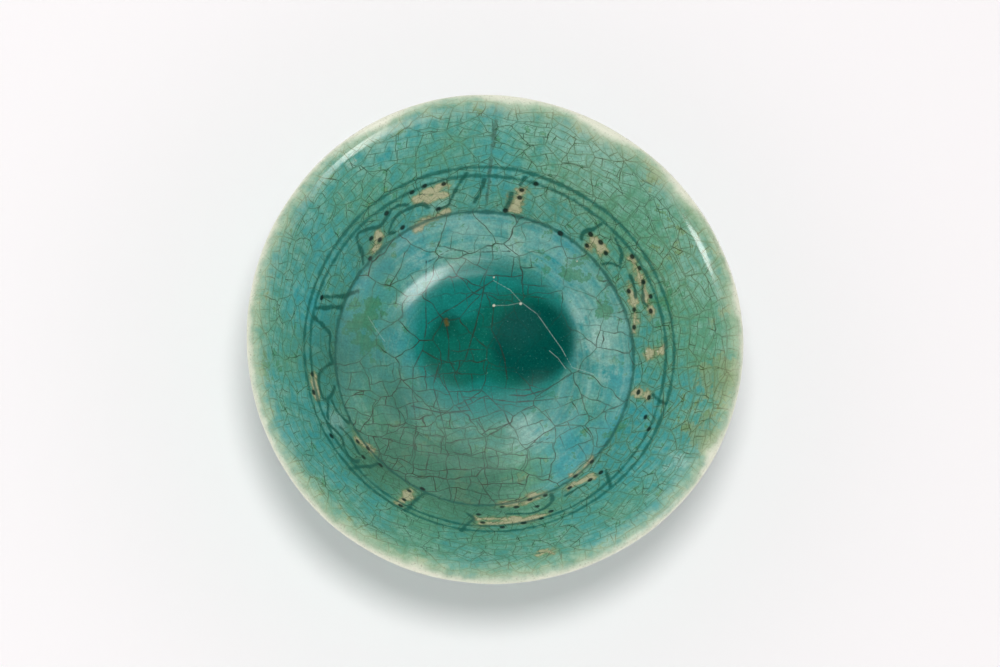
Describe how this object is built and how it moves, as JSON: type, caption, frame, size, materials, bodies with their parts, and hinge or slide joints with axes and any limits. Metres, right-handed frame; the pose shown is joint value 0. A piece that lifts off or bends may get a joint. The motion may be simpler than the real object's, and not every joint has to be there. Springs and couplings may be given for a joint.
{
  "type": "glazed bowl",
  "caption": "Round footed ceramic bowl with a straight flaring wall, painted banding lines inside, a crackled turquoise glaze, a worn pale lip and a dark pool of glaze in the well.",
  "frame": {"origin": "centre of the foot ring's standing face", "axes": "+Z up along the turning axis out of the bowl's mouth; +X to the right and +Y up in the picture, which looks down into the bowl"},
  "size_m": [0.16, 0.1601, 0.062],
  "materials": {
    "stonepaste": "matte",
    "turquoise_glaze": "gloss",
    "pale_lip_glaze": "gloss",
    "pool_glaze": "gloss",
    "painted_line": "gloss"
  },
  "bodies": {
    "root": {"stonepaste_body": "stonepaste", "foot_ring": "stonepaste", "inner_glaze": "turquoise_glaze", "outer_glaze": "turquoise_glaze", "lip_glaze": "pale_lip_glaze", "well_glaze_pool": "pool_glaze", "upper_painted_ring": "painted_line", "middle_painted_ring": "painted_line", "lower_painted_ring": "painted_line"}
  },
  "joints": []
}
